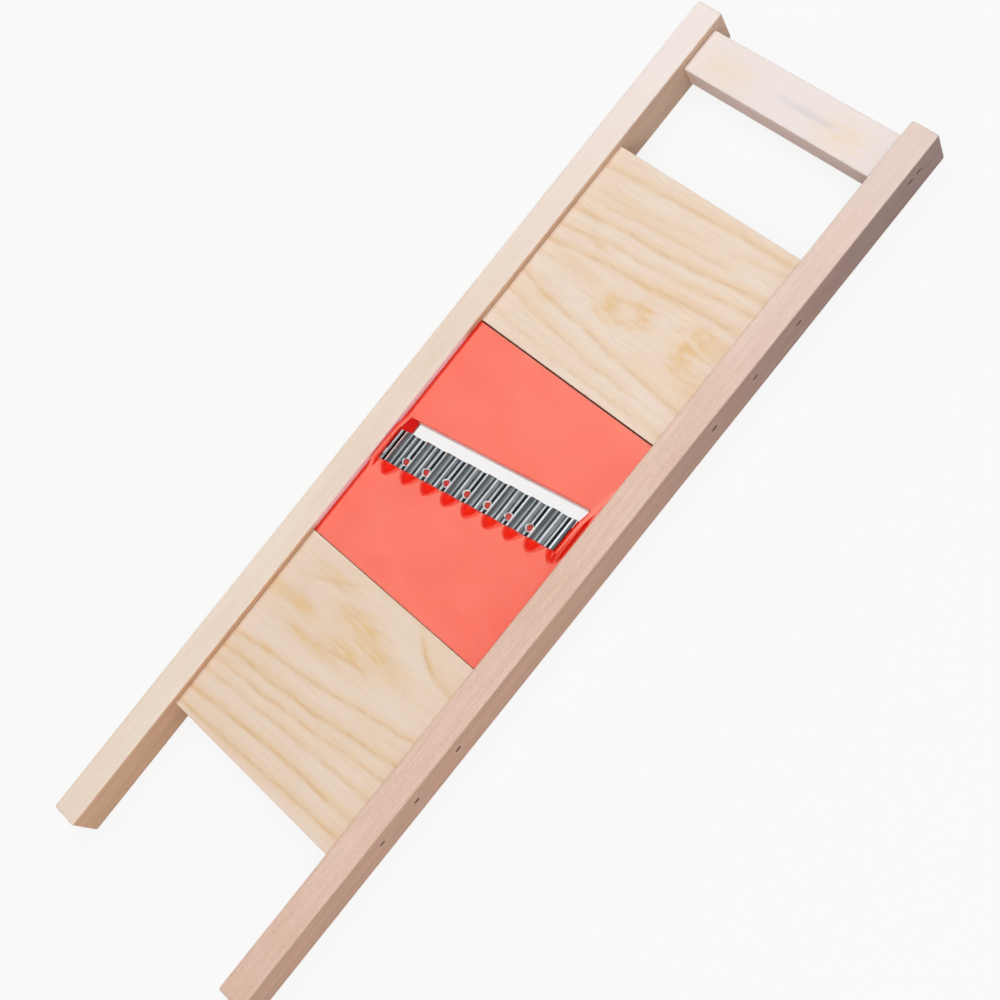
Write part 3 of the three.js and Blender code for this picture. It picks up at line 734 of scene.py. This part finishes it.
def wave_sheet(maker):
    """A corrugated sheet, skewed in plan and ground thin from below along its front edge."""
    given = maker.given
    columns, rows = SHEET_GRID
    grid = maker.add("GeometryNodeMeshGrid", {"Size X": given["Length"], "Size Y": given["Depth"],
                                              "Vertices X": columns, "Vertices Y": rows}).outputs["Mesh"]
    flat_x, flat_y, _ = maker.split(maker.position())
    x = maker.plus(flat_x, given["Middle X"])
    y = maker.plus(maker.plus(flat_y, given["Middle Y"]), maker.times(x, given["Skew"]))
    turn = maker.over(maker.times(maker.minus(x, given["Wave Centre"]), math.tau), given["Pitch"])
    half_wave = maker.over(given["Wave Height"], 2.0)
    half_sheet = maker.over(given["Sheet"], 2.0)
    middle_z = maker.plus(maker.minus(given["Trough Top"], half_sheet), half_wave)
    z = maker.minus(middle_z, maker.times(half_wave, maker.math("COSINE", turn)))

    to_front = maker.minus(maker.over(given["Depth"], 2.0), flat_y)
    ground = maker.spread(maker.over(to_front, given["Ground Depth"]), 0.0, 1.0, 1.0, 0.0, smooth=False)
    flat = maker.capture(grid, "FLOAT", "Ground", ground)
    waved = maker.moved(flat["Geometry"], Position=maker.join(x, y, z))
    normal = maker.add("GeometryNodeInputNormal").outputs[0]
    top = maker.add("ShaderNodeVectorMath", {0: maker.position(), 1: maker.scaled(normal, half_sheet)},
                    operation="ADD").outputs["Vector"]
    middle = maker.capture(waved, "VECTOR", "Top", top)
    cut = maker.times(maker.minus(given["Sheet"], given["Edge"]), flat["Ground"])
    lower = maker.moved(middle["Geometry"], Offset=maker.scaled(normal, maker.minus(cut, half_sheet)))
    grown = maker.add("GeometryNodeExtrudeMesh", {"Mesh": lower, "Offset Scale": 0.0, "Individual": False},
                      mode="FACES").outputs
    upper = maker.moved(grown["Mesh"], Selection=grown["Top"], Position=middle["Top"])
    under = maker.add("GeometryNodeFlipFaces", {"Mesh": lower}).outputs[0]
    feeds = {"Geometry": maker.joined(under, upper), "Distance": MERGE_DISTANCE}
    return maker.add("GeometryNodeMergeByDistance", feeds).outputs[0]


def hole_row(maker):
    """The first hole's X, and the row's Y where X is nothing."""
    given = maker.given
    half_count = maker.over(maker.minus(given["Hole Count"], 1.0), 2.0)
    first_x = maker.minus(given["Wave Centre"], maker.times(given["Pitch"], half_count))
    back_y = maker.minus(given["Middle Y"], maker.over(given["Depth"], 2.0))
    return first_x, maker.plus(back_y, given["Hole Setback"])


def pierced(maker, sheet, first_x, row_y):
    """The sheet with a row of stake holes in its troughs."""
    given = maker.given
    first_y = maker.plus(row_y, maker.times(first_x, given["Skew"]))
    start = maker.join(first_x, first_y, given["Trough Top"])
    step = maker.join(given["Pitch"], maker.times(given["Pitch"], given["Skew"]))
    row = maker.add("GeometryNodeMeshLine", {"Count": given["Hole Count"], "Offset": step,
                                             "Start Location": start}).outputs["Mesh"]
    drill = maker.add("GeometryNodeMeshCylinder", {"Vertices": HOLE_SIDES, "Radius": given["Hole Radius"],
                                                   "Depth": maker.times(given["Wave Height"], 2.0)})
    drills = maker.copies(row, drill.outputs["Mesh"])
    return maker.add("GeometryNodeMeshBoolean", {"Mesh 1": sheet, "Mesh 2": drills}, operation="DIFFERENCE",
                     solver="EXACT").outputs["Mesh"]


def hole_rims(maker, sheet, sharp, first_x, row_y):
    """A round bead along the sharp edges of each hole."""
    given = maker.given
    x, y, _ = maker.split(maker.position())
    holes_along = maker.plus(maker.over(maker.minus(x, first_x), given["Pitch"]), HALF_WAVE)
    from_x = maker.times(maker.minus(maker.math("FRACT", holes_along), HALF_WAVE), given["Pitch"])
    hole_y = maker.plus(row_y, maker.times(given["Skew"], maker.minus(x, from_x)))
    distance = maker.distance(from_x, maker.minus(y, hole_y))
    at_hole = maker.math("LESS_THAN", distance, maker.times(given["Hole Radius"], RIM_REACH))
    feeds = {"Mesh": sheet, "Selection": maker.times(sharp, at_hole)}
    edges = maker.add("GeometryNodeMeshToCurve", feeds).outputs["Curve"]
    feeds = {"Resolution": RIM_SIDES, "Radius": given["Rim"]}
    bead = maker.add("GeometryNodeCurvePrimitiveCircle", feeds, mode="RADIUS").outputs["Curve"]
    feeds = {"Curve": edges, "Profile Curve": bead, "Fill Caps": True}
    return maker.smoothed(maker.add("GeometryNodeCurveToMesh", feeds).outputs["Mesh"])


def wave_blade(finish, rim_finish):
    """The corrugated blade with its stake holes and their burred rims."""
    maker = Maker("wave_blade", [("Length", "NodeSocketFloat", (BLADE_RIGHT - BLADE_LEFT) * MM),
                                 ("Depth", "NodeSocketFloat", BLADE_DEPTH * MM),
                                 ("Middle X", "NodeSocketFloat", (BLADE_LEFT + BLADE_RIGHT) / 2 * MM),
                                 ("Middle Y", "NodeSocketFloat", BLADE_MIDDLE_Y * MM),
                                 ("Skew", "NodeSocketFloat", BLADE_SKEW),
                                 ("Pitch", "NodeSocketFloat", WAVE_PITCH * MM),
                                 ("Wave Height", "NodeSocketFloat", WAVE_HEIGHT * MM),
                                 ("Wave Centre", "NodeSocketFloat", WAVE_CENTRE * MM),
                                 ("Trough Top", "NodeSocketFloat", TROUGH_TOP * MM),
                                 ("Sheet", "NodeSocketFloat", BLADE_SHEET * MM),
                                 ("Edge", "NodeSocketFloat", BLADE_EDGE * MM),
                                 ("Ground Depth", "NodeSocketFloat", BLADE_GROUND * MM),
                                 ("Hole Radius", "NodeSocketFloat", STAKE_HOLE * MM),
                                 ("Hole Setback", "NodeSocketFloat", STAKE_SETBACK * MM),
                                 ("Hole Count", "NodeSocketInt", STAKE_COUNT),
                                 ("Rim", "NodeSocketFloat", HOLE_RIM * MM),
                                 ("Finish", "NodeSocketMaterial", finish),
                                 ("Rim Finish", "NodeSocketMaterial", rim_finish)])
    first_x, row_y = hole_row(maker)
    sheet = pierced(maker, wave_sheet(maker), first_x, row_y)
    angle = maker.add("GeometryNodeInputMeshEdgeAngle").outputs["Unsigned Angle"]
    sharp = maker.math("GREATER_THAN", angle, BLADE_CREASE)
    rims = hole_rims(maker, sheet, sharp, first_x, row_y)
    feeds = {"Geometry": maker.smoothed(sheet), "Selection": sharp, "Shade Smooth": False}
    crisp = maker.add("GeometryNodeSetShadeSmooth", feeds, domain="EDGE").outputs[0]
    blade = maker.joined(maker.dressed(maker.real(rims), maker.given["Rim Finish"]),
                         maker.dressed(maker.real(crisp), maker.given["Finish"]))
    piece = maker.make(new_piece("polished_wave_blade"), blade)
    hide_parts("crinkle_blade")
    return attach(piece, "root")


def insert_finish(face):
    """The number of a face's finish, told by where the face lies and where it points."""
    x, y, z = face.calc_center_median() / MM
    if not BLADE_LEFT - BLADE_MARGIN < x < BLADE_RIGHT + BLADE_MARGIN:
        return PLATE
    nearest = WAVE_CENTRE + WAVE_PITCH * round((x - WAVE_CENTRE) / WAVE_PITCH)
    stake_y = BLADE_MIDDLE_Y - BLADE_DEPTH / 2 + STAKE_SETBACK + BLADE_SKEW * nearest
    if math.hypot(x - nearest, y - stake_y) < STAKE_HOLE and z > STAKE_FOOT:
        return STAKES
    from_blade = y - BLADE_MIDDLE_Y - BLADE_SKEW * x
    # Painted light: the noses and their feet take copies whose tinted gloss paints their shading.
    if from_blade < NOSE_BACK and z > NOSE_FOOT:
        return NOSES if z > NOSE_FLANK else NOSE_FEET
    in_throat = z <= THROAT_TOP and THROAT_REACH[0] < from_blade < THROAT_REACH[1]
    # Painted light: the far wall keeps the plate's gloss, the left wall takes the brightened part-metal
    # copy and the other throat walls the matt one.
    is_far_wall = face.normal.y < -WALL_FACING
    if not in_throat or is_far_wall or abs(face.normal.z) > FLAT_FACING:
        return PLATE
    return LEFT_WALL if face.normal.x > WALL_FACING else WALLS


def moulded_insert(nodes, finishes):
    """The insert's own shape with its facets merged and its curves shaded smooth."""
    mesh = nodes["blade_insert"].data.copy()
    mesh.materials.clear()
    for finish in finishes:
        mesh.materials.append(finish)
    shape = bmesh.new()
    shape.from_mesh(mesh)
    bmesh.ops.remove_doubles(shape, verts=shape.verts, dist=MERGE_DISTANCE)
    bmesh.ops.dissolve_degenerate(shape, dist=MERGE_DISTANCE, edges=shape.edges)
    shape.normal_update()
    for face in shape.faces:
        face.smooth = True
        face.material_index = insert_finish(face)
    for edge in shape.edges:
        edge.smooth = edge.calc_face_angle(0.0) < INSERT_CREASE
    shape.to_mesh(mesh)
    shape.free()
    piece = new_piece("moulded_blade_insert", mesh)
    weighted = piece.modifiers.new("level_flats", "WEIGHTED_NORMAL")
    weighted.keep_sharp = True
    weighted.weight = FLATS_WEIGHT
    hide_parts("blade_insert")
    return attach(piece, "root")


def brad_shape():
    """One brad along -X with its head at the origin: a flat wire with a struck head and a chisel point."""
    shape = bmesh.new()
    side = 1 - BRAD_CORNER
    outline = [(1, side), (side, 1), (-side, 1), (-1, side),
               (-1, -side), (-side, -1), (side, -1), (1, -side)]
    rings = []
    for along, share, (width, height) in BRAD_STATIONS:
        half_y = share * width / 2 * MM
        half_z = share * height / 2 * MM
        rings.append([shape.verts.new((along * MM, y * half_y, z * half_z)) for y, z in outline])
    for front, back in zip(rings, rings[1:]):
        for i in range(len(front)):
            j = (i + 1) % len(front)
            shape.faces.new((front[i], front[j], back[j], back[i]))
    shape.faces.new(list(reversed(rings[0])))
    shape.faces.new(rings[-1])
    bmesh.ops.recalc_face_normals(shape, faces=shape.faces)
    mesh = bpy.data.meshes.new("brad_shape")
    shape.to_mesh(mesh)
    shape.free()
    return new_piece("brad_shape", mesh)


def brads(nodes, finish):
    """Copies of the brad at every place where the frame has one, turned to face out of its rail."""
    names = sorted(name for name in nodes if name.startswith("brad_"))
    left_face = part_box("left_rail")[0].x + BRAD_SHY * MM
    right_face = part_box("right_rail")[1].x - BRAD_SHY * MM
    places = []
    for name in names:
        low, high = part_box(name)
        head_x = right_face if low.x > 0 else left_face
        places.append(Vector((head_x, (low.y + high.y) / 2, (low.z + high.z) / 2)))
    mesh = bpy.data.meshes.new("rail_brads")
    mesh.from_pydata(places, [], [])
    one_brad = brad_shape()
    maker = Maker("brad_copies", [("Brad", "NodeSocketObject", one_brad),
                                  ("Finish", "NodeSocketMaterial", finish)])
    given = maker.given
    wire = maker.add("GeometryNodeObjectInfo", {"Object": given["Brad"]}).outputs["Geometry"]
    x, _, _ = maker.split(maker.position())
    half_turn = maker.times(maker.math("LESS_THAN", x, 0.0), math.pi)
    copies = maker.copies(given["Geometry"], wire, Rotation=maker.join(z=half_turn))
    piece = maker.make(new_piece("rail_brads", mesh), maker.dressed(copies, given["Finish"]))
    bpy.data.objects.remove(one_brad)
    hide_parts(*names)
    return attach(piece, "root")


def wooden_pieces(nodes):
    """Gives the frame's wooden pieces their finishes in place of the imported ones."""
    finishes = {
        "left_rail": straight_grained_wood("left_rail_wood", LEFT_TONES, **LEFT_GRAIN),
        "right_rail": straight_grained_wood("right_rail_wood", RIGHT_TONES, **RIGHT_GRAIN),
        "crossbar": straight_grained_wood("crossbar_wood", BAR_TONES, **BAR_GRAIN),
        "upper_board": veneered_board("upper_board_veneer", UPPER_TONES, UPPER_LINES, UPPER_KNOTS,
                                      UPPER_PATCHES, UPPER_SEED),
        "lower_board": veneered_board("lower_board_veneer", LOWER_TONES, LOWER_LINES, [],
                                      LOWER_PATCHES, LOWER_SEED),
    }
    for name, finish in finishes.items():
        nodes[name].data.materials.clear()
        nodes[name].data.materials.append(finish)


def soft_box(name, place, width, length, radiance):
    """A rectangle of even light that faces the part, its length level and its width along the climb."""
    lamp = bpy.data.lights.new(name, "AREA")
    lamp.shape = "RECTANGLE"
    lamp.size = length
    lamp.size_y = width
    lamp.energy = radiance * math.pi * width * length
    box = bpy.data.objects.new(name, lamp)
    box.location = place
    box.rotation_euler = Vector(place).to_track_quat("Z", "Y").to_euler()
    bpy.context.scene.collection.objects.link(box)


def studio_floor():
    """A matt floor that glows where it is seen or mirrored, and not where it lights the part."""
    half = FLOOR_SIZE / 2
    mesh = bpy.data.meshes.new("studio_floor")
    outline = [(-half, -half), (half, -half), (half, half), (-half, half)]
    mesh.from_pydata([(x, y, -FLOOR_DROP) for x, y in outline], [], [(0, 1, 2, 3)])
    floor = new_piece("studio_floor", mesh)
    cloth = bpy.data.materials.new("floor_white")
    cloth.use_nodes = True
    cloth.node_tree.nodes.clear()
    nodes = Nodes(cloth.node_tree)
    matt = nodes.add("ShaderNodeBsdfDiffuse", {"Color": FLOOR_COLOUR}).outputs[0]
    glow = nodes.add("ShaderNodeEmission").outputs[0]
    rays = nodes.add("ShaderNodeLightPath").outputs
    seen = rays["Is Camera Ray"]
    for kind in ("Is Glossy Ray", "Is Transmission Ray"):
        seen = nodes.math("MAXIMUM", seen, rays[kind])
    blend = nodes.add("ShaderNodeMixShader", {0: nodes.times(seen, FLOOR_GLOW), 1: matt, 2: glow})
    nodes.add("ShaderNodeOutputMaterial", {"Surface": blend.outputs[0]})
    mesh.materials.append(cloth)


def studio_dome():
    """Light all round the horizon that dims towards the top."""
    world = bpy.data.worlds.new("studio_dome")
    world.use_nodes = True
    world.node_tree.nodes.clear()
    bpy.context.scene.world = world
    nodes = Nodes(world.node_tree)
    _, _, climb = nodes.split(nodes.add("ShaderNodeTexCoord").outputs["Generated"])
    glow = nodes.spread(climb, *HORIZON_TOP, HORIZON_GLOW, DOME_GLOW)
    sky = nodes.add("ShaderNodeBackground", {"Strength": glow})
    nodes.add("ShaderNodeOutputWorld", {"Surface": sky.outputs[0]})


def studio():
    """The floor, the dome, the soft boxes and the camera."""
    scene = bpy.context.scene
    scene.view_settings.view_transform = "Standard"
    studio_floor()
    studio_dome()
    for name, box in SOFT_BOXES.items():
        soft_box(name, **box)
    lens = bpy.data.cameras.new("photo_camera")
    lens.sensor_width = CAMERA_SENSOR
    lens.lens = CAMERA_LENS
    camera = bpy.data.objects.new("photo_camera", lens)
    camera.location = CAMERA_PLACE
    camera.rotation_euler = [math.radians(angle) for angle in CAMERA_TURN]
    scene.collection.objects.link(camera)
    scene.camera = camera


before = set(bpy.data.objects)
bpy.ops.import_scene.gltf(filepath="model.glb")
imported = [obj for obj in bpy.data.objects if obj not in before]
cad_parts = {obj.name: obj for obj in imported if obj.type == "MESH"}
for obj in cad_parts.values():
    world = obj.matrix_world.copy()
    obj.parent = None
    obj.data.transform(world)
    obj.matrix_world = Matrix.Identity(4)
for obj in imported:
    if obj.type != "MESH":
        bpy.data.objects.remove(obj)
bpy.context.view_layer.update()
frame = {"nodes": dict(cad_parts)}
wooden_pieces(frame["nodes"])
moulded_insert(frame["nodes"], [red_plastic(*finish) for finish in INSERT_FINISHES])
wave_blade(polished_steel(), punched_rim())
brads(frame["nodes"], brad_wire())
studio()
